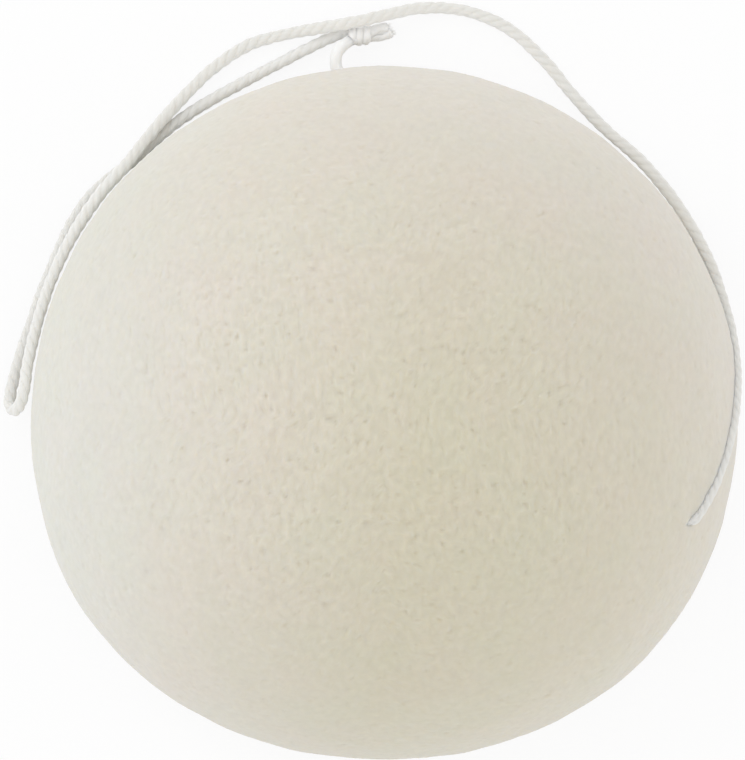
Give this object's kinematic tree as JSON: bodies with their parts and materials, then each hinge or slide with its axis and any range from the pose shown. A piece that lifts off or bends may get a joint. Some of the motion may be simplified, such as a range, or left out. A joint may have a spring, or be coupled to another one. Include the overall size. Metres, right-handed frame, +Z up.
{
  "type": "konjac sponge",
  "caption": "Half-ball konjac face sponge with a flat base and a thin cotton hanging string threaded through it and tied in a knot.",
  "frame": {"origin": "centre of the sponge's flat base", "axes": "+Z up through the top of the dome, +Y towards the knot in the string"},
  "size_m": [0.0832, 0.0864, 0.04],
  "materials": {
    "sponge": "soft, matte, fine fibrous grain, cream white",
    "string": "three-strand twisted cotton, off-white",
    "knot": "the same cotton, pulled tight"
  },
  "bodies": {
    "root": {"sponge": "sponge", "string_threaded": "string", "string_loop": "string", "string_stub": "string", "string_knot": "knot"}
  },
  "joints": []
}
